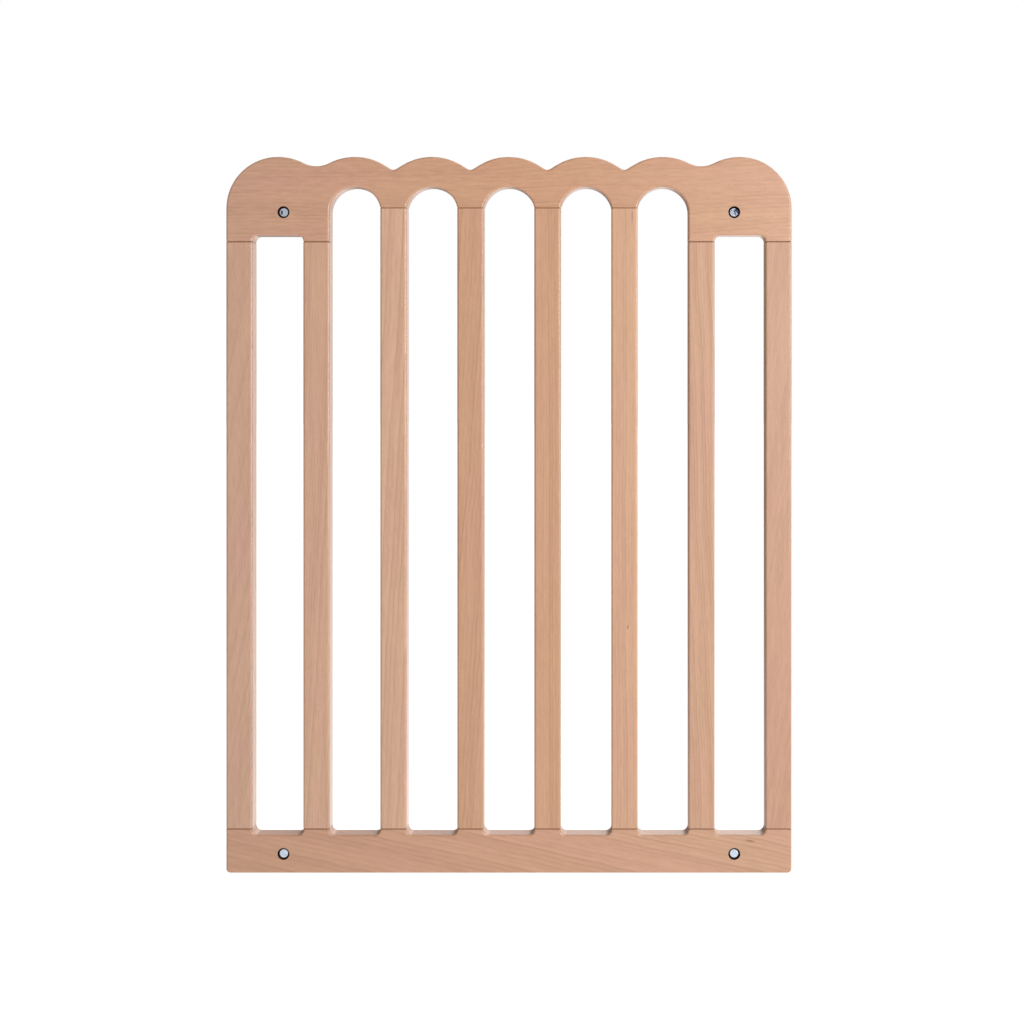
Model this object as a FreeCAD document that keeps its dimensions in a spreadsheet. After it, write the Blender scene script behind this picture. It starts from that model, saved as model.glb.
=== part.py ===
import FreeCAD, Part
import math
import os
import re
import Sketcher

# Safety baby gate panel in beech: two rails and eight upright bars on hidden dowels, with a barrel nut
# in each corner for the wall fixings. Millimetres, +Z up, front towards -Y.
# Origin: the middle of the bottom rail's underside.

V = FreeCAD.Vector
NEAR = 0.01     # points this close count as the same
doc = FreeCAD.newDocument("BabyGate")

# ---------------------------------------------------------------- driving dimensions
DIMENSIONS = {
    # the panel
    "panel_width": 600,
    "panel_height": 760,
    "board": 20,             # thickness of every wooden piece
    "bar_width": 28,
    "bar_count": 8,
    "edge_round": 2.2,       # softened long edges, safe for small hands
    "joint_ease": 0.6,       # fine bevel that leaves a V line round each joint
    # top rail
    "top_rail_height": 90,
    "inner_step": 36,        # the four inner bars run this much higher than the outer ones
    "lobe_radius": 60,       # each scallop along the top
    "flank_angle": 31.5,     # slope of a scallop where it meets the next
    "valley_round": 5.5,
    "soft_valley_round": 29,
    "arch_rise": 22,
    "trim": 4,               # spare height of the blank, cut away with the scallops
    # bottom rail
    "bottom_rail_height": 47,
    "foot_round": 4.5,
    # shallow steps between the bar joints
    "notch_depth": 6.5,
    "notch_round": 6,
    # corner fixings
    "nut_inset": 61,         # from the panel's side to the nut's centre
    "top_nut_drop": 59,      # from the crest of the scallops down to the nut's centre
    "bottom_nut_height": 20.5,
    "nut_hole": 12.5,
    "nut_hole_depth": 18.2,
    "nut_width": 10,
    "nut_length": 16,
    "nut_bevel": 0.7,
    "nut_thread": 5,         # core of an M6 thread
    "bolt_bore": 7,
    "bolt_bore_depth": 76,
    "drill_point": 118,
    # dowels, two in each end of a bar
    "dowel_width": 8,
    "dowel_length": 36,
    "dowel_bevel": 1,
    "dowel_spread": 14,
    "dowel_slack": 0.5,      # glue space at each end
}

# Sizes that follow from the driving ones; each may use those above it.
DERIVED = {
    "pitch": "(panel_width - bar_width) / (bar_count - 1)",
    "gap": "pitch - bar_width",
    "outer_joint": "panel_height - top_rail_height",
    "short_bar": "outer_joint - bottom_rail_height",
    "long_bar": "short_bar + inner_step",
    "corner_round": "bar_width + gap / 2",
    "soft_share": "pitch / 2 / (lobe_radius + soft_valley_round)",
    "soft_run": "lobe_radius * soft_share",
    "soft_drop": "lobe_radius * (1 - sqrt(1 - soft_share ^ 2))",
    "lobe_run": "lobe_radius * sin(flank_angle)",
    "lobe_drop": "lobe_radius * (1 - cos(flank_angle))",
    "valley_run": "valley_round * sin(flank_angle)",
    "valley_drop": "lobe_drop + (pitch / 2 - valley_run - lobe_run) * tan(flank_angle)",
    "arch_top": "inner_step + arch_rise",
    "arch_radius": "((gap / 2) ^ 2 + arch_rise ^ 2) / 2 / arch_rise",
    "dowel_hole_depth": "dowel_length / 2 + dowel_slack",
}

sheet = doc.addObject("Spreadsheet::Sheet", "Dimensions")
for row, (alias, size) in enumerate(DIMENSIONS.items(), start=1):
    sheet.set(f"A{row}", alias)
    sheet.set(f"B{row}", str(size))
    sheet.setAlias(f"B{row}", alias)
doc.recompute()


def formula(text):
    """An expression in the sheet's cells: derived names are spelled out, then each cell gets its sheet."""
    for name in reversed(DERIVED):
        text = re.sub(rf"\b{name}\b", f"({DERIVED[name]})", text)
    return re.sub(r"\b(" + "|".join(DIMENSIONS) + r")\b", r"Dimensions.\1", text)


def value(text):
    return float(sheet.evalExpression(formula(text)))


# ---------------------------------------------------------------- modelling helpers
def new_body(name, left="0", up="0"):
    """A sub-part's body: its own frame sits at x = left, z = up in the panel."""
    body = doc.addObject("PartDesign::Body", name)
    body.Label = name
    body.setExpression("Placement.Base.x", formula(left))
    body.setExpression("Placement.Base.z", formula(up))
    return body


def plane(body, role):
    return next(item for item in body.Origin.OriginFeatures if item.Role == role)


def new_sketch(body, name, role, lift="0"):
    """A sketch on one of the body's own planes, lifted along the plane's normal."""
    sketch = body.newObject("Sketcher::SketchObject", name)
    sketch.AttachmentSupport = [(plane(body, role), "")]
    sketch.MapMode = "FlatFace"
    sketch.setExpression("AttachmentOffset.Base.z", formula(lift))
    return sketch


def constrain(sketch, kind, *where, size):
    index = sketch.addConstraint(Sketcher.Constraint(kind, *where, value(size)))
    sketch.setExpression(f"Constraints[{index}]", formula(size))


def arc_between(start, end, turn, radius):
    """The short arc from start to end: turn +1 bends it to the left, -1 to the right."""
    chord = end - start
    side = V(-chord.y, chord.x, 0).normalize() * turn
    centre = start + chord / 2 + side * math.sqrt(radius ** 2 - (chord.Length / 2) ** 2)
    angles = [math.atan2(point.y - centre.y, point.x - centre.x) for point in (start, end)]
    return Part.ArcOfCircle(Part.Circle(centre, V(0, 0, 1), radius), *angles[::turn])


def draw_outline(sketch, corners):
    """A closed outline. A corner (x, y) starts a line, and (x, y, turn, radius) starts an arc."""
    points = [V(value(corner[0]), value(corner[1]), 0) for corner in corners]
    ends = []
    for index, corner in enumerate(corners):
        start, end = points[index], points[(index + 1) % len(points)]
        if len(corner) == 2:
            edge = sketch.addGeometry(Part.LineSegment(start, end))
            ends.append((edge, 1, 2))
        else:
            turn, radius = corner[2:]
            edge = sketch.addGeometry(arc_between(start, end, turn, value(radius)))
            ends.append((edge, 1, 2) if turn > 0 else (edge, 2, 1))
            constrain(sketch, "Radius", edge, size=radius)
        constrain(sketch, "DistanceX", edge, ends[-1][1], size=corner[0])
        constrain(sketch, "DistanceY", edge, ends[-1][1], size=corner[1])
    for (edge, _, finish), (following, start, _) in zip(ends, ends[1:] + ends[:1]):
        sketch.addConstraint(Sketcher.Constraint("Coincident", edge, finish, following, start))


def draw_circles(sketch, diameter, centres):
    for x, y in centres:
        circle = Part.Circle(V(value(x), value(y), 0), V(0, 0, 1), value(diameter) / 2)
        edge = sketch.addGeometry(circle)
        constrain(sketch, "DistanceX", edge, 3, size=x)
        constrain(sketch, "DistanceY", edge, 3, size=y)
        constrain(sketch, "Diameter", edge, size=diameter)


def pad(body, sketch, length, side="One side"):
    feature = body.newObject("PartDesign::Pad", sketch.Name + "_pad")
    feature.Profile = sketch
    feature.SideType = side
    feature.setExpression("Length", formula(length))
    doc.recompute()


def settle(body, feature):
    """Make a cut the body's last feature, and stop if it took nothing away."""
    before = body.Shape.Volume
    body.Tip = feature
    doc.recompute()
    if body.Shape.Volume >= before - 1:
        raise RuntimeError(f"{feature.Name} cuts nothing")
    return feature


def cut(body, sketch, depth=None, forward=False):
    """Pocket a sketch: right through both ways, or to a depth, forward along the sketch's normal."""
    feature = doc.addObject("PartDesign::Pocket", sketch.Name + "_cut")
    feature.Profile = sketch
    if depth is None:
        feature.Type = "ThroughAll"
        feature.SideType = "Symmetric"
    else:
        feature.Reversed = forward
        feature.setExpression("Length", formula(depth))
    body.addObject(feature)
    return settle(body, feature)


def drill(body, sketch, diameter, depth):
    """A blind bore, forward along the sketch's normal, with the cone that a twist drill leaves at its end."""
    feature = doc.addObject("PartDesign::Hole", sketch.Name + "_drilled")
    feature.Profile = sketch
    feature.DepthType = "Dimension"
    feature.DrillPoint = "Angled"
    feature.Reversed = True
    body.addObject(feature)
    feature.setExpression("Diameter", formula(diameter))
    feature.setExpression("Depth", formula(depth))
    feature.setExpression("DrillPointAngle", formula("drill_point"))
    return settle(body, feature)


def mirror(body, *features):
    """Repeat cuts on the other side of the panel's centre line."""
    copy = doc.addObject("PartDesign::Mirrored", features[0].Name + "_mirror")
    copy.Originals = list(features)
    copy.MirrorPlane = (plane(body, "YZ_Plane"), [""])
    body.addObject(copy)
    return settle(body, copy)


def repeat(body, feature, count):
    """Repeat a cut along the rail, one bar pitch apart."""
    pattern = doc.addObject("PartDesign::LinearPattern", feature.Name + "_row")
    pattern.Originals = [feature]
    pattern.Direction = (plane(body, "X_Axis"), [""])
    pattern.Mode = "Spacing"
    pattern.setExpression("Offset", formula("pitch"))
    pattern.setExpression("Occurrences", formula(count))
    body.addObject(pattern)
    return settle(body, pattern)


def dress(body, kind, names, size, label):
    """Fillet or chamfer the named edges or faces of the body's last feature."""
    base = body.Tip
    feature = body.newObject("PartDesign::" + kind, label)
    feature.Base = (base, names)
    feature.setExpression("Radius" if kind == "Fillet" else "Size", formula(size))
    doc.recompute()


def face_edges(body, *joint_levels):
    """Edges that bound the front and back faces, without the straight ones where a bar joins."""
    names = []
    for index, edge in enumerate(body.Tip.Shape.Edges, start=1):
        middle = edge.valueAt((edge.FirstParameter + edge.LastParameter) / 2)
        points = [middle] + [vertex.Point for vertex in edge.Vertexes]
        on_face = all(abs(abs(point.y) - value("board / 2")) < NEAR for point in points)
        at_joint = any(all(abs(point.z - level) < NEAR for point in points) for level in joint_levels)
        if on_face and not at_joint:
            names.append(f"Edge{index}")
    return names


def level_faces(body, *levels):
    """Flat faces square to Z at any of the levels."""
    names = []
    for index, face in enumerate(body.Tip.Shape.Faces, start=1):
        box = face.BoundBox
        if box.ZLength < NEAR and any(abs(box.ZMax - level) < NEAR for level in levels):
            names.append(f"Face{index}")
    return names


# ---------------------------------------------------------------- rails
def dowel_holes(body, name, joint, centre, upwards):
    """Two blind holes in the joint face, either side of the bar centred at x = centre."""
    sketch = new_sketch(body, name, "XY_Plane", joint)
    sides = (f"({centre}) - dowel_spread / 2", f"({centre}) + dowel_spread / 2")
    draw_circles(sketch, "dowel_width", [(side, "0") for side in sides])
    return cut(body, sketch, "dowel_hole_depth", upwards)


def corner_holes(body, height):
    """The blind cross hole for a barrel nut and the bolt's bore from the rail's end, on both sides."""
    cross = new_sketch(body, "nut_hole", "XZ_Plane", "board / 2")
    draw_circles(cross, "nut_hole", [("nut_inset - panel_width / 2", height)])
    cross_cut = cut(body, cross, "nut_hole_depth")
    bore = new_sketch(body, "bolt_bore", "YZ_Plane", "-panel_width / 2")
    draw_circles(bore, "bolt_bore", [("0", height)])
    mirror(body, cross_cut, drill(body, bore, "bolt_bore", "bolt_bore_depth"))


def cut_scallops(body):
    """Seven crests along the top, one over each gap between bars."""
    crest = "top_rail_height"

    # outer corner: a quarter turn from the rail's end up to the outermost crest
    shoulder = new_sketch(body, "shoulder", "XZ_Plane")
    draw_outline(shoulder, [
        ("-panel_width / 2", f"{crest} - corner_round", -1, "corner_round"),
        ("-3 * pitch", crest),
        ("-3 * pitch", f"{crest} + 2 * trim"),
        ("-panel_width / 2 - trim", f"{crest} + 2 * trim"),
        ("-panel_width / 2 - trim", f"{crest} - corner_round"),
    ])
    shoulder_cut = cut(body, shoulder)

    # soft valley between the outermost crest and the next
    soft = new_sketch(body, "soft_valley", "XZ_Plane")
    draw_outline(soft, [
        ("-3 * pitch", crest, -1, "lobe_radius"),
        ("-3 * pitch + soft_run", f"{crest} - soft_drop", 1, "soft_valley_round"),
        ("-2 * pitch - soft_run", f"{crest} - soft_drop", -1, "lobe_radius"),
        ("-2 * pitch", crest),
        ("-2 * pitch", f"{crest} + 2 * trim"),
        ("-3 * pitch", f"{crest} + 2 * trim"),
    ])
    soft_cut = cut(body, soft)
    mirror(body, shoulder_cut, soft_cut)

    # pointed valleys between the inner crests
    sharp = new_sketch(body, "sharp_valley", "XZ_Plane")
    draw_outline(sharp, [
        ("-2 * pitch", crest, -1, "lobe_radius"),
        ("-2 * pitch + lobe_run", f"{crest} - lobe_drop"),
        ("-1.5 * pitch - valley_run", f"{crest} - valley_drop", 1, "valley_round"),
        ("-1.5 * pitch + valley_run", f"{crest} - valley_drop"),
        ("-pitch - lobe_run", f"{crest} - lobe_drop", -1, "lobe_radius"),
        ("-pitch", crest),
        ("-pitch", f"{crest} + 2 * trim"),
        ("-2 * pitch", f"{crest} + 2 * trim"),
    ])
    repeat(body, cut(body, sharp), "bar_count - 4")


def cut_arches(body):
    """The underside: shallower over the four inner bars, with an arch or a step over each gap."""
    waist = new_sketch(body, "waist", "XZ_Plane")
    draw_outline(waist, [
        ("-1.5 * pitch - bar_width / 2", "-trim"),
        ("1.5 * pitch + bar_width / 2", "-trim"),
        ("1.5 * pitch + bar_width / 2", "inner_step"),
        ("-1.5 * pitch - bar_width / 2", "inner_step"),
    ])
    cut(body, waist)
    arch = new_sketch(body, "arch", "XZ_Plane")
    draw_outline(arch, [
        ("-pitch - gap / 2", "inner_step", -1, "arch_radius"),
        ("-pitch", "arch_top", -1, "arch_radius"),
        ("-pitch + gap / 2", "inner_step"),
        ("-pitch + gap / 2", "inner_step - trim"),
        ("-pitch - gap / 2", "inner_step - trim"),
    ])
    repeat(body, cut(body, arch), "3")

    # the arch beside each corner block runs straight down the block
    side_arch = new_sketch(body, "side_arch", "XZ_Plane")
    draw_outline(side_arch, [
        ("-2 * pitch - gap / 2", "-trim"),
        ("-2 * pitch - gap / 2", "arch_top - gap / 2", -1, "gap / 2"),
        ("-2 * pitch", "arch_top", -1, "arch_radius"),
        ("-2 * pitch + gap / 2", "inner_step"),
        ("-2 * pitch + gap / 2", "-trim"),
    ])
    side_cut = cut(body, side_arch)

    # shallow step over the outermost gap
    step = new_sketch(body, "outer_step", "XZ_Plane")
    draw_outline(step, [
        ("-3 * pitch - gap / 2", "-trim"),
        ("-3 * pitch - gap / 2", "notch_depth - notch_round", -1, "notch_round"),
        ("-3 * pitch - gap / 2 + notch_round", "notch_depth"),
        ("-3 * pitch + gap / 2 - notch_round", "notch_depth", -1, "notch_round"),
        ("-3 * pitch + gap / 2", "notch_depth - notch_round"),
        ("-3 * pitch + gap / 2", "-trim"),
    ])
    mirror(body, side_cut, cut(body, step))


def make_top_rail():
    body = new_body("top_rail", up="outer_joint")
    blank = new_sketch(body, "blank", "XZ_Plane")
    draw_outline(blank, [
        ("-panel_width / 2", "0"),
        ("panel_width / 2", "0"),
        ("panel_width / 2", "top_rail_height + trim"),
        ("-panel_width / 2", "top_rail_height + trim"),
    ])
    pad(body, blank, "board", "Symmetric")
    cut_scallops(body)
    cut_arches(body)

    joints = (0, value("inner_step"))
    dress(body, "Fillet", face_edges(body, *joints), "edge_round", "softened_edges")
    dress(body, "Chamfer", level_faces(body, *joints), "joint_ease", "eased_joints")

    outer = dowel_holes(body, "slat_holes", "0", "-2.5 * pitch", True)
    end = dowel_holes(body, "stile_holes", "0", "-3.5 * pitch", True)
    mirror(body, outer, end)
    inner = dowel_holes(body, "inner_holes", "inner_step", "-1.5 * pitch", True)
    repeat(body, inner, "4")
    corner_holes(body, "top_rail_height - top_nut_drop")
    return body


def make_bottom_rail():
    body = new_body("bottom_rail")
    blank = new_sketch(body, "blank", "XZ_Plane")
    draw_outline(blank, [
        ("-panel_width / 2", "foot_round", 1, "foot_round"),
        ("-panel_width / 2 + foot_round", "0"),
        ("panel_width / 2 - foot_round", "0", 1, "foot_round"),
        ("panel_width / 2", "foot_round"),
        ("panel_width / 2", "bottom_rail_height"),
        ("-panel_width / 2", "bottom_rail_height"),
    ])
    pad(body, blank, "board", "Symmetric")

    step = new_sketch(body, "step", "XZ_Plane")
    floor = "bottom_rail_height - notch_depth"
    draw_outline(step, [
        ("-3 * pitch - gap / 2", "bottom_rail_height + trim"),
        ("-3 * pitch - gap / 2", f"{floor} + notch_round", 1, "notch_round"),
        ("-3 * pitch - gap / 2 + notch_round", floor),
        ("-3 * pitch + gap / 2 - notch_round", floor, 1, "notch_round"),
        ("-3 * pitch + gap / 2", f"{floor} + notch_round"),
        ("-3 * pitch + gap / 2", "bottom_rail_height + trim"),
    ])
    repeat(body, cut(body, step), "bar_count - 1")

    joint = value("bottom_rail_height")
    dress(body, "Fillet", face_edges(body, joint), "edge_round", "softened_edges")
    dress(body, "Chamfer", level_faces(body, joint), "joint_ease", "eased_joints")
    holes = dowel_holes(body, "bar_holes", "bottom_rail_height", "-3.5 * pitch", False)
    repeat(body, holes, "bar_count")
    corner_holes(body, "bottom_nut_height")
    return body


# ---------------------------------------------------------------- bars, dowels and nuts
def make_bar(name, place, length):
    """An upright bar between the rails, with two dowel holes in each end."""
    body = new_body(name, f"{place} * pitch", "bottom_rail_height")
    section = new_sketch(body, "section", "XY_Plane")
    draw_outline(section, [
        ("-bar_width / 2", "-board / 2"),
        ("bar_width / 2", "-board / 2"),
        ("bar_width / 2", "board / 2"),
        ("-bar_width / 2", "board / 2"),
    ])
    pad(body, section, length)
    joints = (0, value(length))
    dress(body, "Fillet", face_edges(body, *joints), "edge_round", "softened_edges")
    dress(body, "Chamfer", level_faces(body, *joints), "joint_ease", "eased_ends")
    dowel_holes(body, "lower_holes", "0", "0", True)
    dowel_holes(body, "upper_holes", length, "0", False)
    return body


def make_dowels(name, place, joint):
    """The two plain dowels across one joint, half in the rail and half in the bar."""
    body = new_body(name, f"{place} * pitch", f"{joint} - dowel_length / 2")
    body.AllowCompound = True
    section = new_sketch(body, "dowels", "XY_Plane")
    draw_circles(section, "dowel_width", [("-dowel_spread / 2", "0"), ("dowel_spread / 2", "0")])
    pad(body, section, "dowel_length")
    dress(body, "Chamfer", level_faces(body, 0, value("dowel_length")), "dowel_bevel", "bevelled_ends")
    return body


def make_barrel_nut(name, side, height):
    """A cross dowel nut, square to the panel's face, with its thread along the rail."""
    body = new_body(name, f"{side} * (panel_width / 2 - nut_inset)", height)
    section = new_sketch(body, "barrel", "XZ_Plane")
    draw_circles(section, "nut_width", [("0", "0")])
    pad(body, section, "nut_length", "Symmetric")
    rims = [f"Edge{index}" for index, edge in enumerate(body.Tip.Shape.Edges, start=1)
            if isinstance(edge.Curve, Part.Circle)]
    dress(body, "Chamfer", rims, "nut_bevel", "bevelled_rims")
    thread = new_sketch(body, "thread", "YZ_Plane")
    draw_circles(thread, "nut_thread", [("0", "0")])
    cut(body, thread)
    return body


# ---------------------------------------------------------------- the gate
def make_gate():
    parts = [make_top_rail(), make_bottom_rail()]
    last = int(value("bar_count")) - 1
    for index in range(last + 1):
        place = index - last / 2
        name = {0: "left_stile", last: "right_stile"}.get(index, f"slat_{index}")
        inner = 1 < index < last - 1
        joint = "(outer_joint + inner_step)" if inner else "outer_joint"
        parts.append(make_bar(name, place, "long_bar" if inner else "short_bar"))
        parts.append(make_dowels(f"{name}_top_dowels", place, joint))
        parts.append(make_dowels(f"{name}_bottom_dowels", place, "bottom_rail_height"))
    for word, side in (("left", -1), ("right", 1)):
        parts.append(make_barrel_nut(f"top_{word}_nut", side, "panel_height - top_nut_drop"))
        parts.append(make_barrel_nut(f"bottom_{word}_nut", side, "bottom_nut_height"))
    return parts


def check(parts):
    """Stop before anything is written if a feature failed or a solid is broken."""
    for item in doc.Objects:
        if {"Invalid", "Error"} & set(item.State):
            raise RuntimeError(f"{item.Name} failed: {item.State}")
    for part in parts:
        if part.Shape.isNull() or not part.Shape.isValid():
            raise RuntimeError(f"{part.Label} has no valid shape")


parts = make_gate()
doc.recompute()
check(parts)
os.makedirs("parts", exist_ok=True)
for part in parts:
    part.Shape.exportStep(f"parts/{part.Label}.step")
    box = part.Shape.BoundBox
    print(f"{part.Label}: {box.XLength:.1f} x {box.YLength:.1f} x {box.ZLength:.1f}, "
          f"{len(part.Shape.Solids)} solid(s), {part.Shape.Volume / 1000:.2f} cm3")
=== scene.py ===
# %% [markdown]
# # A beech safety gate in a pale studio
#
# The gate is one rigid panel of planed beech: a wavy top rail, a straight bottom rail and eight upright
# bars, glued on hidden dowels, with a steel barrel nut let into the face of each corner. The shapes come
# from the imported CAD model, in metres, with +Z up and the front towards -Y. They are right already, so
# the work left for Blender is the finish: what makes the wood read as steamed beech under satin lacquer,
# and the nuts as zinc-plated steel.

# %% load the gate
import bmesh
import bpy
import math
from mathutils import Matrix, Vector


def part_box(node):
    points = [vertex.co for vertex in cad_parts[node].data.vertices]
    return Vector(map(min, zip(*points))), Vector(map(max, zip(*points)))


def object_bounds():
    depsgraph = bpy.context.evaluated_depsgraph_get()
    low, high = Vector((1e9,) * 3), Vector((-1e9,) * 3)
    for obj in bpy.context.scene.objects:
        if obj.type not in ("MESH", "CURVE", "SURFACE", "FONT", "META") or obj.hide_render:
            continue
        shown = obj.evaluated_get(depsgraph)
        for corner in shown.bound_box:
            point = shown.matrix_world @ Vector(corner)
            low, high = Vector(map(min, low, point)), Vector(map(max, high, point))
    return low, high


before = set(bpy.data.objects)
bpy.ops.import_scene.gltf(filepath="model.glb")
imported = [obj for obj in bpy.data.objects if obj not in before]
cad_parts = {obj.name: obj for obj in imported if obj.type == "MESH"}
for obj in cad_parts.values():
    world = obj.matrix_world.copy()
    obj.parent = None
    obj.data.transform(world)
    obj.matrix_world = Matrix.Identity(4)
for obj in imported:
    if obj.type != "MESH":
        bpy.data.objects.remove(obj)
cad_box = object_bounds()
low, high = cad_box
middle = (low + high) / 2
print("gate measures", [round(size, 4) for size in high - low])

# %% [markdown]
# A board is strong only along its grain, so the joiner cuts a rail with the grain along it and a bar with
# the grain upright. The pieces are sorted by how they were cut, because their finish follows that.

# %% sort the pieces
RAILS = ["bottom_rail", "top_rail"]
BARS = ["left_stile"] + [f"slat_{number}" for number in range(1, 7)] + ["right_stile"]
DOWELS = sorted(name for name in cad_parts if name.endswith("dowels"))
NUTS = sorted(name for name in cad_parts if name.endswith("nut"))
print(len(RAILS), "rails,", len(BARS), "bars,", len(DOWELS), "dowel pairs,", len(NUTS), "nuts")

# %% [markdown]
# ## Shader sums
#
# A material is a graph of nodes. Wiring dozens of Math nodes by hand is slow to write and to read, so one
# small class stands for a number on a wire, and adding two wires adds the Math node. Colours and vectors
# never go through a Math node, which would turn them grey: `Recipe.mix` and `Recipe.vector` see to them.

# %% a number on a wire
class Wire:
    """A socket's value. Sums written with it add Math nodes to its recipe."""

    def __init__(self, recipe, socket):
        self.recipe = recipe
        self.socket = socket

    def math(self, operation, *values):
        return self.recipe.node("Math", {"operation": operation}, dict(enumerate(values)))

    def __add__(self, other):
        return self.math("ADD", self, other)

    def __sub__(self, other):
        return self.math("SUBTRACT", self, other)

    def __rsub__(self, other):
        return self.math("SUBTRACT", other, self)

    def __mul__(self, other):
        return self.math("MULTIPLY", self, other)

    def __truediv__(self, other):
        return self.math("DIVIDE", self, other)

    def __pow__(self, other):
        return self.math("POWER", self, other)

    def __abs__(self):
        return self.math("ABSOLUTE", self)

    __radd__ = __add__
    __rmul__ = __mul__


# %% [markdown]
# A recipe is the node tree of one material or of the world. One method adds any node: its settings come
# first, since they decide which sockets there are, and then each socket gets a number, colour or wire.

# %% a node tree that is written like a recipe
class Recipe:
    """The node tree of a material or a world."""

    def __init__(self, owner):
        owner.use_nodes = True
        self.tree = owner.node_tree
        self.tree.nodes.clear()

    def node(self, kind, settings=None, values=None, out=0):
        node = self.tree.nodes.new("ShaderNode" + kind)
        for key, setting in (settings or {}).items():
            if key == "stops":
                for place, shade in setting[1:-1]:
                    node.color_ramp.elements.new(place)
                for element, (place, shade) in zip(node.color_ramp.elements, setting):
                    element.position, element.color = place, shade
            else:
                setattr(node, key, setting)
        for key, value in (values or {}).items():
            if isinstance(value, Wire):
                self.tree.links.new(value.socket, node.inputs[key])
            else:
                node.inputs[key].default_value = value
        return Wire(self, node.outputs[out]) if node.outputs else None

    def vector(self, operation, *values, out=0):
        return self.node("VectorMath", {"operation": operation}, dict(enumerate(values)), out)

    def mix(self, amount, below, above):
        return self.node("Mix", {"data_type": "RGBA"}, {0: amount, 6: below, 7: above}, out=2)

    def tint(self, below, above):
        """One colour seen through another."""
        return self.node("Mix", {"data_type": "RGBA", "blend_type": "MULTIPLY"},
                         {0: 1.0, 6: below, 7: above}, out=2)

    def parts(self, vector):
        first = self.node("SeparateXYZ", None, {0: vector})
        return [Wire(self, output) for output in first.socket.node.outputs]

    def step(self, value, start, end):
        """Rises smoothly from 0 at start to 1 at end."""
        return self.node("MapRange", {"interpolation_type": "SMOOTHSTEP"},
                         {"Value": value, "From Min": start, "From Max": end})

    def noise(self, place, squeeze, detail=2.0):
        """Cloudy noise from 0 to 1, with about squeeze[axis] clouds in each metre along an axis."""
        return self.node("TexNoise", None, {"Vector": self.vector("MULTIPLY", place, squeeze),
                                            "Scale": 1.0, "Detail": detail})


# %% [markdown]
# Colours are easiest to say as they look on a screen, from 0 to 255. Blender reckons in linear light, so
# one helper converts them.

# %% screen colours to linear light
def colour(red, green, blue):
    def linear(channel):
        share = channel / 255
        return share / 12.92 if share <= 0.04045 else ((share + 0.055) / 1.055) ** 2.4
    return (linear(red), linear(green), linear(blue), 1.0)


def shaded(tone, by):
    """The colour lighter or darker by a factor for each of red, green and blue."""
    return tuple(channel * factor for channel, factor in zip(tone, by)) + (1.0,)


print("half bright on a screen is", round(colour(128, 128, 128)[0], 3), "of the full light")


# %% [markdown]
# ## The camera
#
# The camera looks straight along +Y through a 50 mm lens, a little right of the gate's middle. Keeping it
# level holds the bars upright and parallel. A small lens shift then brings the gate to the middle of the
# frame, as a view camera does, where tilting the camera would make the bars lean.

# %% place the camera
LENS = 50.1                 # millimetres, in front of a film 36 mm wide
EYE_RIGHT = 0.1094          # metres to the right of the gate's middle
EYE_IN_FRONT = 1.511        # metres in front of its front face
EYE_UP = 0.5134             # metres above its foot
SHIFT = (-0.0977, -0.12)    # shares of the frame's width

camera_data = bpy.data.cameras.new("camera")
camera_data.lens = LENS
camera_data.sensor_width = 36.0
camera_data.shift_x, camera_data.shift_y = SHIFT
camera = bpy.data.objects.new("camera", camera_data)
camera.location = (middle.x + EYE_RIGHT, low.y - EYE_IN_FRONT, low.z + EYE_UP)
camera.rotation_euler = (math.pi / 2, 0, 0)
bpy.context.collection.objects.link(camera)
bpy.context.scene.camera = camera
bpy.context.scene.view_settings.view_transform = "Standard"
print("camera at", [round(place, 3) for place in camera.location])

# %% [markdown]
# ## The studio
#
# The gate stands on a pale floor in front of a white sweep that is lit until it loses its horizon. The
# camera sees the surroundings as plain white. As a light they are a dim room with bright cards. One stands
# behind the gate on the right and one high behind it: they whiten the sides of the bars and the top of the
# bottom rail, which are seen at a low angle. One on the right catches the rounded edges, and one overhead
# on that side lights the top faces. A narrow one behind the camera is what the nuts mirror. The white floor
# throws light back up under the rails.

# %% white surroundings
# brightness of each
ROOM = 0.14
CARD_BEHIND = 0.90
CARD_HIGH = 0.65
CARD_RIGHT = 0.40
CARD_OVERHEAD = 1.3
CARD_IN_FRONT = 0.68
FLOOR_BOUNCE = 0.90

world = bpy.data.worlds.new("studio")
bpy.context.scene.world = world
sky = Recipe(world)
# how far a direction points each way, from -1 to 1; each card fades in over a stretch of that
to_right, to_back, to_top = sky.parts(sky.node("TexCoord", out="Generated"))
behind = sky.step(to_back, 0.70, 0.94) * sky.step(to_right, -0.20, 0.08)
high = sky.step(to_back, 0.55, 0.85) * sky.step(to_top, 0.14, 0.26)
right = sky.step(to_right, 0.30, 0.80)
overhead = sky.step(to_top, 0.30, 0.80) * sky.step(to_right, -0.30, 0.20)
in_front = sky.step(to_back, -0.90, -0.97)
below = sky.step(to_top, -0.04, -0.50)
for_the_eye = sky.node("Background", None, {"Color": (1, 1, 1, 1), "Strength": 1.0})
for_the_wood = sky.node("Background", None, {
    "Color": (1, 1, 1, 1), "Strength": ROOM + CARD_BEHIND * behind + CARD_HIGH * high + CARD_RIGHT * right
    + CARD_OVERHEAD * overhead + CARD_IN_FRONT * in_front + FLOOR_BOUNCE * below})
seen_directly = sky.node("LightPath")
sky.node("OutputWorld", None, {
    "Surface": sky.node("MixShader", None, {0: seen_directly, 1: for_the_wood, 2: for_the_eye})})
print("a white room with five cards")

# %% [markdown]
# One large softbox stands to the right of the camera. It makes the right end a little brighter than the
# left, and leaves the left edge of each bar in shade.

# %% key light
KEY_PLACE = Vector((1.37, -2.03, 0.72))
KEY_SIZE = 1.1
KEY_POWER = 35.5            # watts

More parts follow.
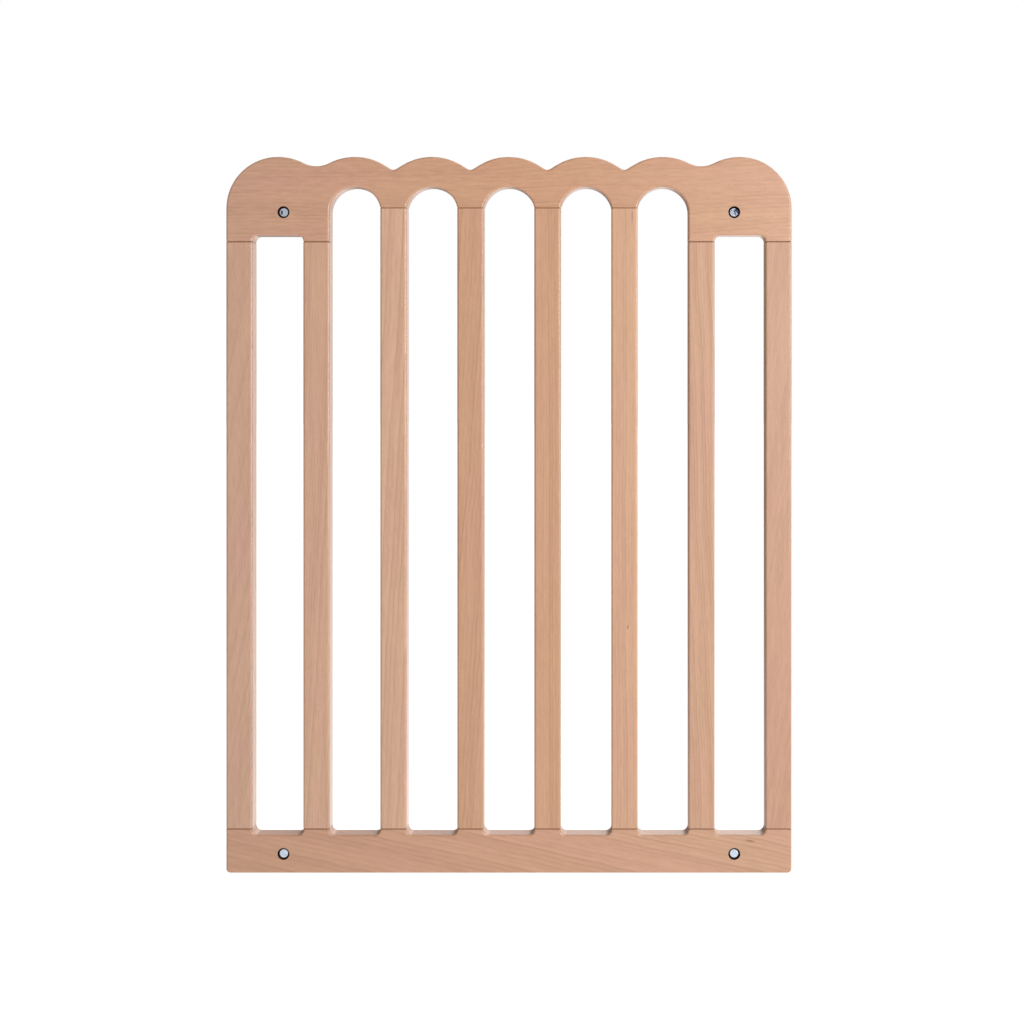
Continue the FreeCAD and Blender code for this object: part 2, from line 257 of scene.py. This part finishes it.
key = bpy.data.lights.new("key", "AREA")
key.size = KEY_SIZE
key.energy = KEY_POWER
softbox = bpy.data.objects.new("softbox", key)
softbox.location = KEY_PLACE
softbox.rotation_euler = (middle - KEY_PLACE).to_track_quat("-Z", "Y").to_euler()
bpy.context.collection.objects.link(softbox)
print("key light of", KEY_POWER, "W,", KEY_SIZE, "m square")

# %% [markdown]
# The floor is a light table: a matt white board that glows by itself, as under a product shot, so that the
# gate's contact shadow all but vanishes. Its glow is kept off the wood, which would look lit from below.

# %% lay the floor
FLOOR_REACH = 20            # metres from the gate to the floor's edge, far past what is seen
FLOOR_GLOW = 0.93

floor_form = bmesh.new()
bmesh.ops.create_grid(floor_form, x_segments=1, y_segments=1, size=FLOOR_REACH)
bmesh.ops.translate(floor_form, verts=floor_form.verts, vec=(middle.x, middle.y, low.z))
floor_mesh = bpy.data.meshes.new("floor")
floor_form.to_mesh(floor_mesh)
floor_form.free()
floor = bpy.data.objects.new("floor", floor_mesh)
floor.visible_diffuse = False
floor.visible_glossy = False
bpy.context.collection.objects.link(floor)

board_white = bpy.data.materials.new("white_board")
board = Recipe(board_white)
speck = board.noise(board.node("TexCoord", out="Object"), (9, 9, 9))
board.node("OutputMaterial", None, {"Surface": board.node("BsdfPrincipled", None, {
    "Base Color": board.mix(speck, (0.30, 0.30, 0.30, 1), (0.32, 0.32, 0.32, 1)), "Roughness": 0.8,
    "Specular IOR Level": 0.0, "Emission Color": (1, 1, 1, 1), "Emission Strength": FLOOR_GLOW})})
floor_mesh.materials.append(board_white)
print("floor at height", low.z)

# %% [markdown]
# ## Beech
#
# Steamed beech is an even, pinkish tan wood. Up close it has four kinds of mark. Growth rings are faint
# curved lines, darker at the end of each ring. Fibres are fine streaks along the grain. Rays show as short
# dark flecks a few millimetres long. Slow clouds of pinker and yellower wood come from the steaming. A long
# rail also drifts in tone between its ends, and that drift paints in light as well: the rail is darker at
# its left end and lighter at its right, as the key light from the right falls.
#
# A picture of wood would repeat and would not turn the corner on to the edges. Here the pattern is solid
# instead: each piece is cut out of its own log, so the lines run over the rounded edges as they do on a
# planed board. The log's middle, the pith, lies outside the board. How far off it lies, and how much it
# leans, decides whether a face shows straight stripes or long slanting curves.

# %% growth rings in a log
def growth_rings(wood, place, pith, lean, wander, ring_width):
    """The distance from the pith, counted in rings. Place is across, depth, along."""
    across, depth, along = wood.parts(place)
    bend = (wood.noise(place, (7, 7, 3.1), detail=1) - 0.5) * wander
    waver = (wood.noise(place, (34, 34, 26), detail=2) - 0.5) * (0.9 * ring_width)
    off_across = across - pith[0] + along * lean[0] + bend + waver
    off_depth = depth - pith[1] + along * lean[1]
    return (off_across * off_across + off_depth * off_depth) ** 0.5 / ring_width


# %% [markdown]
# A tree grows pale wood in spring and a thin dark line of late wood at the end of summer. The part of the
# count after the decimal point says how far into a year a spot is, and its fourth power stays near 0 until
# the ring's last part. The whole number picks a tone for the year. Noise breaks the lines up, so that they
# don't look drawn with a pen.

# %% one year's wood
def late_wood(wood, place, rings):
    """How dark the wood is at the end of its ring, and the tone of the whole ring, both from 0 to 1."""
    within = wood.node("Math", {"operation": "FRACT"}, {0: rings})
    number = wood.node("Math", {"operation": "FLOOR"}, {0: rings})
    ring_tone = wood.node("TexWhiteNoise", {"noise_dimensions": "1D"}, {"W": number})
    broken = wood.step(wood.noise(place, (60, 60, 13)), 0.30, 0.66)
    return within ** 4.0 * (0.25 + 0.75 * ring_tone) * (0.35 + 0.65 * broken), ring_tone


# %% [markdown]
# Rays are sheets of cells that run out from the pith. A planed face cuts through them, and each shows as a
# short dark fleck. A Voronoi pattern drawn out along the grain scatters such flecks without a grid. Single
# marks, such as a knot, are placed one by one as soft ovals.

# %% flecks and single marks
def ray_flecks(wood, place, width, length, shift):
    """Short dark dashes along the grain, thick in some patches and sparse in others."""
    moved = wood.vector("ADD", place, (shift, shift, shift))
    cells = wood.node("TexVoronoi", None, {
        "Vector": wood.vector("MULTIPLY", moved, (1 / width, 1 / width, 1 / length)), "Scale": 1.0})
    patches = wood.step(wood.noise(moved, (70, 70, 22)), 0.35, 0.65)
    return wood.step(cells, 0.32, 0.12) * patches


def blemish(recipe, across, along, mark):
    """A soft oval spot, such as a pin knot, a dark pore streak or a painted reflection on metal."""
    centre_across, centre_along, half_width, half_length, slant = mark
    off_across = across - centre_across
    off_along = along - centre_along
    sideways = (off_across * math.cos(slant) + off_along * math.sin(slant)) / half_width
    lengthways = (off_along * math.cos(slant) - off_across * math.sin(slant)) / half_length
    return recipe.step(sideways * sideways + lengthways * lengthways, 1.0, 0.1)


# %% [markdown]
# Two marks are laid over the wood by where they are on the piece, and both are painted shade. At each
# joint the last millimetre or so gets a fine dark line, which deepens the shade in the V-groove there.
# Inside each drilled hole the walls are painted dark, as the shade in the gap round the nut. The holes are
# blind, so the mark stops short of the back face.

# %% painted shade at the joints and in the holes
HOLE_RADIUS = 0.0064


def paint_groove_shade(wood, finish, tone, reaches, distances):
    """Darkens the finish within a reach of the piece's lower and upper joint: painted shade in the groove."""
    for reach, to_joint in zip(reaches, distances):
        if reach:
            # the dark tone is painted shade, deeper than the groove's own shading
            finish = wood.mix(0.85 * wood.step(to_joint, reach, 0.6 * reach), finish,
                              shaded(tone, (0.50, 0.40, 0.32)))
    return finish


def paint_hole_shade(wood, finish, across, along, from_back, holes):
    """Darkens the finish inside each drilled hole, down to its blind end: painted shade round the nut."""
    for hole_across, hole_along in holes:
        in_hole = blemish(wood, across, along,
                          (hole_across, hole_along, HOLE_RADIUS, HOLE_RADIUS, 0.0))
        before_back = wood.step(from_back, 0.0004, 0.0010)
        # the dark brown on the hole's walls is painted shade
        finish = wood.mix(wood.step(in_hole, 0.0, 0.0005) * before_back, finish, colour(84, 54, 40))
    return finish


# %% [markdown]
# One recipe makes every piece of beech. It takes the piece's own tone, the place of its pith, how far its
# grain is turned, and any blemishes. The Mapping node turns the pattern so that its third axis runs along
# the grain: straight up in a bar, and to the right in a rail. How far up the log a piece starts is worked
# out from its name. Two names can give the same height, so it is the pith, lean and ring width that keep
# the growth rings of two bars apart.

# %% the beech recipe
UPRIGHT = 0.0
LYING = math.radians(90)
LOG_STEP = 0.37             # metres up the log for each step of the number made from a name


def beech(name, node, turn, tone, pith, lean=(0.0, 0.0), wander=0.004, ring_width=0.0023, contrast=1.0,
          flecks=1.0, light_gradient=(), groove_shade_reach=(0.0007, 0.0016), marks=(), holes=(), lacquer=0.6):
    """A material for one board of beech."""
    material = bpy.data.materials.new(name)
    wood = Recipe(material)
    node_low, node_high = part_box(node)
    spot = wood.node("TexCoord", out="Object")
    place = wood.node("Mapping", {"vector_type": "TEXTURE"}, {
        "Vector": spot, "Location": (node_low + node_high) / 2, "Rotation": (0, turn, 0)})
    up_the_log = LOG_STEP * (sum(map(ord, node)) % 97)
    in_log = wood.vector("ADD", place, (0, 0, up_the_log))

    rings = growth_rings(wood, in_log, pith, lean, wander, ring_width)
    ring_ends, ring_tone = late_wood(wood, in_log, rings)
    streaks = wood.noise(in_log, (230, 230, 6), detail=3)
    dashes = wood.noise(in_log, (430, 430, 70), detail=2)
    fibres = wood.noise(in_log, (900, 900, 48), detail=2)
    clouds = wood.noise(in_log, (26, 26, 7), detail=2)
    long_flecks = ray_flecks(wood, in_log, 0.0013, 0.0060, 0.0)
    short_flecks = ray_flecks(wood, in_log, 0.0010, 0.0030, 0.5)

    darkening = contrast * (0.34 * ring_ends + 0.22 * (streaks - 0.5) + 0.16 * (fibres - 0.5)
                            + 0.08 * (ring_tone - 0.5)) + 0.32 * flecks * (dashes - 0.5)
    planed = wood.mix(wood.step(darkening, -0.30, 0.38), shaded(tone, (1.12, 1.13, 1.14)),
                      shaded(tone, (0.83, 0.79, 0.75)))
    steamed_and_lit = wood.mix(0.8 * wood.step(clouds, 0.30, 0.70), planed, wood.tint(planed, (1.01, 0.96, 1.04, 1)))
    across, depth, along = wood.parts(spot)
    # a rail's tone drift, which also paints in light: darker at the left end, lighter at the right
    if light_gradient:
        from_left = (across - node_low.x) / (node_high.x - node_low.x)
        painted_gradient = wood.node("ValToRGB", {"stops": [
            (stop / (len(light_gradient) - 1), shade + (1.0,)) for stop, shade in enumerate(light_gradient)]}, {0: from_left})
        steamed_and_lit = wood.tint(steamed_and_lit, painted_gradient)
    flecked = wood.mix(flecks * (0.40 * long_flecks + 0.28 * short_flecks), steamed_and_lit,
                       shaded(tone, (0.76, 0.66, 0.58)))

    for mark in marks:
        flecked = wood.mix(0.75 * blemish(wood, across, along, mark), flecked,
                           shaded(tone, (0.42, 0.33, 0.28)))

    facing = wood.node("TexCoord", out="Normal")
    grain_way = (math.sin(turn), 0, math.cos(turn))
    end_grain = wood.step(abs(wood.vector("DOT_PRODUCT", facing, grain_way, out="Value")), 0.55, 0.98)
    finished = wood.mix(0.15 * end_grain, flecked, shaded(tone, (0.70, 0.62, 0.56)))
    finished = paint_groove_shade(wood, finished, tone, groove_shade_reach, (along - node_low.z, node_high.z - along))
    finished = paint_hole_shade(wood, finished, across, along, node_high.y - depth, holes)

    height = fibres * 0.6 + streaks * 0.3 - long_flecks * 0.5 - ring_ends * 0.3
    relief = wood.node("Bump", None, {"Height": height, "Strength": 0.2, "Distance": 0.0001})
    wood.node("OutputMaterial", None, {"Surface": wood.node("BsdfPrincipled", None, {
        "Base Color": finished, "Roughness": 0.36 + 0.12 * fibres, "Normal": relief,
        "Coat Weight": lacquer, "Coat Roughness": 0.22})})
    return material


def give(node, material):
    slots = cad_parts[node].data.materials
    slots.clear()
    slots.append(material)
    print(node, "is", material.name, "of", len(material.node_tree.nodes), "nodes")


# %% [markdown]
# ## The rails
#
# The top rail is cut nearly on the quarter, so its lines run along it with slow waves. The bottom rail's
# grain runs down to the right, and one dark pore streak shows near its right end.

# %% finish the rails
def holes_in(rail):
    """Where the nuts sit in a rail, seen from the front."""
    rail_low, rail_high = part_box(rail)
    centres = [sum(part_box(nut), Vector()) / 2 for nut in NUTS]
    return [(centre.x, centre.z) for centre in centres if rail_low.z < centre.z < rail_high.z]


# Each rail's drift also paints in light: darker at its left end, lighter at its right, as the key falls.
give("top_rail", beech("top_rail_beech", "top_rail", LYING, colour(202, 154, 121), (0.13, 0.04),
                       lean=(0.02, 0.01), wander=0.030, ring_width=0.0036, contrast=0.9, flecks=1.6,
                       groove_shade_reach=(0.0006, 0.0),
                       light_gradient=[(0.873, 0.906, 1.00), (0.905, 0.885, 0.825), (0.945, 0.958, 0.965)],
                       holes=holes_in("top_rail")))
give("bottom_rail", beech("bottom_rail_beech", "bottom_rail", LYING + math.radians(12),
                          colour(196, 151, 120), (0.13, 0.03), lean=(0.0, 0.02), wander=0.010,
                          ring_width=0.0042, contrast=1.55, groove_shade_reach=(0.0, 0.0010),
                          light_gradient=[(0.876, 0.857, 0.856), (0.964, 0.943, 0.916), (0.983, 1.00, 1.00)],
                          holes=holes_in("bottom_rail"),
                          marks=[(0.2557, 0.0344, 0.0012, 0.0066, math.radians(80))]))

# %% [markdown]
# ## The bars
#
# Bars are ripped from offcuts of many boards, so neighbours differ in tone and in the run of their grain.
# The fifth slat has a pin knot a third of the way up and a dark streak near its top.

# %% finish the bars
BAR_WOOD = {
    # bar: (tone, pith across and behind, lean of the pith, bend, ring width, contrast)
    "left_stile": (colour(193, 153, 127), (-0.13, 0.050), (-0.20, 0.05), 0.012, 0.0026, 1.1),
    "slat_1": (colour(195, 154, 125), (0.10, 0.030), (-0.05, 0.02), 0.010, 0.0028, 1.6),
    "slat_2": (colour(200, 159, 129), (0.03, 0.080), (-0.02, 0.03), 0.012, 0.0030, 1.5),
    "slat_3": (colour(191, 146, 113), (-0.11, 0.020), (-0.07, 0.01), 0.014, 0.0042, 1.7),
    "slat_4": (colour(194, 147, 112), (0.12, 0.020), (0.00, 0.01), 0.004, 0.0032, 1.6),
    "slat_5": (colour(199, 155, 122), (-0.09, 0.060), (0.01, 0.02), 0.010, 0.0030, 1.45),
    "slat_6": (colour(193, 150, 119), (-0.11, 0.030), (0.05, 0.02), 0.020, 0.0030, 1.7),
    "right_stile": (colour(190, 147, 117), (-0.14, 0.050), (-0.19, 0.05), 0.010, 0.0027, 1.05),
}
BAR_MARKS = {"slat_5": [(0.126, 0.261, 0.0010, 0.0028, 0.15), (0.1307, 0.697, 0.0007, 0.008, 0.0)]}

for bar, (tone, pith, lean, bend, ring_width, contrast) in BAR_WOOD.items():
    give(bar, beech(f"{bar}_beech", bar, UPRIGHT, tone, pith, lean, bend, ring_width, contrast,
                    marks=BAR_MARKS.get(bar, ())))

# %% [markdown]
# ## The dowels
#
# The dowels are turned from beech too, but stay raw: glue has to soak in. They hide inside the joints.

# %% finish the dowels
raw_beech = beech("raw_dowel_beech", "slat_1_top_dowels", UPRIGHT, colour(220, 186, 158), (0.01, 0.03),
                  groove_shade_reach=(0.0, 0.0), lacquer=0.0)
for node in DOWELS:
    give(node, raw_beech)

# %% [markdown]
# ## The barrel nuts
#
# A barrel nut is turned from steel bar and zinc plated. The lathe leaves fine rings round its axis, and
# the plating adds a bluish cloud over bright metal, duller where it was handled. Each nut turns in its
# hole, so its pattern is centred on its own axis and turns with it.

# %% the zinc recipe
LATHE_STEP = 0.00022        # metres that the lathe's tool moves in one turn


def zinc(name, node, seed, painted_reflections):
    """Zinc plate on a turned steel nut. A painted reflection is a blemish's size, from the nut's middle, and
    depth.
    """
    material = bpy.data.materials.new(name)
    metal = Recipe(material)
    node_low, node_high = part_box(node)
    place = metal.vector("SUBTRACT", metal.node("TexCoord", out="Object"), (node_low + node_high) / 2)
    across, depth, along = metal.parts(place)
    from_axis = (across * across + along * along) ** 0.5
    lathe = metal.node("Math", {"operation": "SINE"}, {0: from_axis * (2 * math.pi / LATHE_STEP)})
    clouds = metal.noise(metal.vector("ADD", place, (seed, 0, 0)), (420, 120, 420), detail=3)
    specks = metal.noise(place, (2600, 900, 2600), detail=2)
    plate = metal.mix(metal.step(clouds, 0.30, 0.70), colour(192, 204, 222), colour(226, 233, 244))
    wear_and_reflections = metal.mix(0.35 * metal.step(specks, 0.56, 0.72), plate, colour(150, 156, 168))
    for *dark_reflection, strength in painted_reflections:
        # each dark patch is a painted reflection
        wear_and_reflections = metal.mix(strength * blemish(metal, across, along, dark_reflection), wear_and_reflections, colour(46, 54, 78))
    relief = metal.node("Bump", None, {"Height": lathe * 0.5 + specks * 0.5, "Strength": 0.08,
                                       "Distance": 0.00006})
    metal.node("OutputMaterial", None, {"Surface": metal.node("BsdfPrincipled", None, {
        "Base Color": wear_and_reflections, "Metallic": 1.0, "Normal": relief,
        "Roughness": 0.14 + 0.12 * clouds + 0.08 * specks})})
    return material


# %% [markdown]
# The two upper nuts have dark patches that the lower two lack. They are painted reflections of dark
# surroundings, laid on as colour, so they turn with the nut where a real reflection would stay in place.

# %% finish the nuts
# painted reflections of dark surroundings on the upper nuts' plate
NUT_REFLECTIONS = {
    # nut: [(across, up, half width, half height, slant, depth), ...]
    "top_left_nut": [(-0.0021, -0.0002, 0.0015, 0.0032, 0.1, 0.95)],
    "top_right_nut": [(0.0, 0.0, 0.0200, 0.0200, 0.0, 0.25), (0.0022, 0.0026, 0.0030, 0.0019, 0.5, 0.95),
                      (0.0009, -0.0006, 0.0013, 0.0050, 0.35, 0.80),
                      (0.0034, 0.0004, 0.0017, 0.0028, 0.2, 0.90),
                      (-0.0025, 0.0014, 0.0012, 0.0016, 0.0, 0.45)],
}

for count, node in enumerate(NUTS):
    give(node, zinc(f"{node}_zinc", node, 0.3 * count, NUT_REFLECTIONS.get(node, ())))
